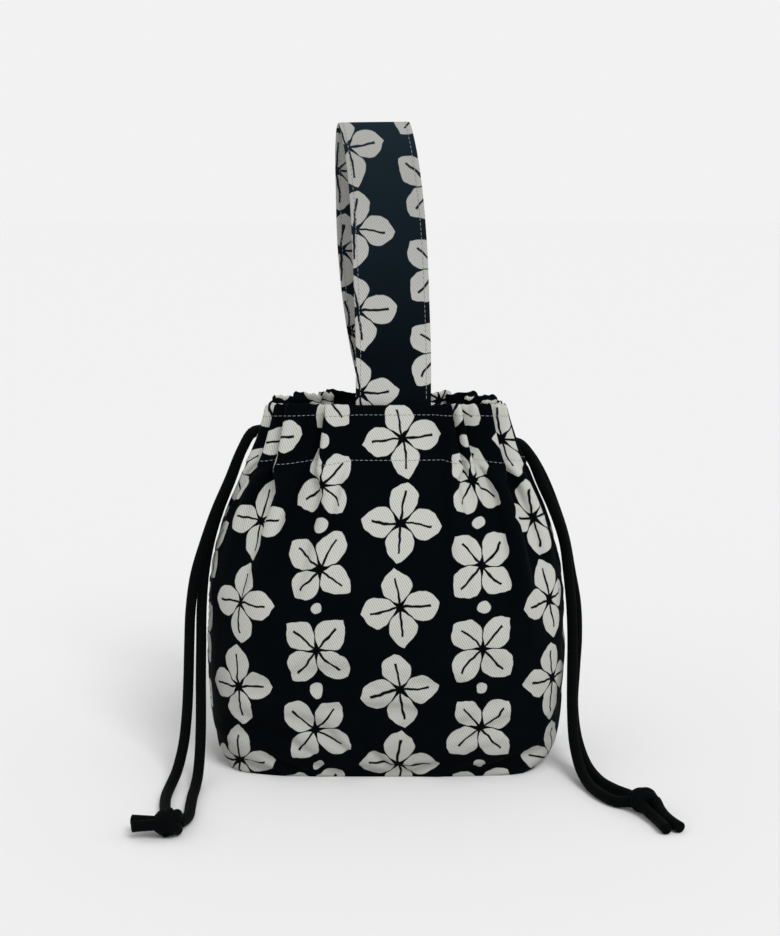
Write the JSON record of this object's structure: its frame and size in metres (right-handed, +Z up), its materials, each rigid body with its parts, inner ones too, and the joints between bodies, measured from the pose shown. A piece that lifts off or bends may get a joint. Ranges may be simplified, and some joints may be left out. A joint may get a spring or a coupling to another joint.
{
  "type": "kinchaku drawstring pouch",
  "caption": "Gathered drawstring pouch of printed twill on a flat oval base, with a loop strap over the mouth and black drawcords at both sides.",
  "frame": {"origin": "centre of the base on the surface the pouch stands on, under the middle of the cloth body without its free cords", "axes": "+Z up along the strap, +X to the viewer's right seen from the front, -Y towards the viewer and the front panel"},
  "size_m": [0.3357, 0.2467, 0.4257],
  "materials": {
    "printed_twill": "matte",
    "black_cord": "matte"
  },
  "bodies": {
    "root": {"front_panel": "printed_twill", "back_panel": "printed_twill", "base_panel": "printed_twill", "strap": "printed_twill", "left_cord_in_casing": "black_cord", "right_cord_in_casing": "black_cord", "left_cord_front": "black_cord", "left_cord_rear": "black_cord", "right_cord_front": "black_cord", "right_cord_rear": "black_cord", "left_knot": "black_cord", "right_knot": "black_cord"}
  },
  "joints": []
}
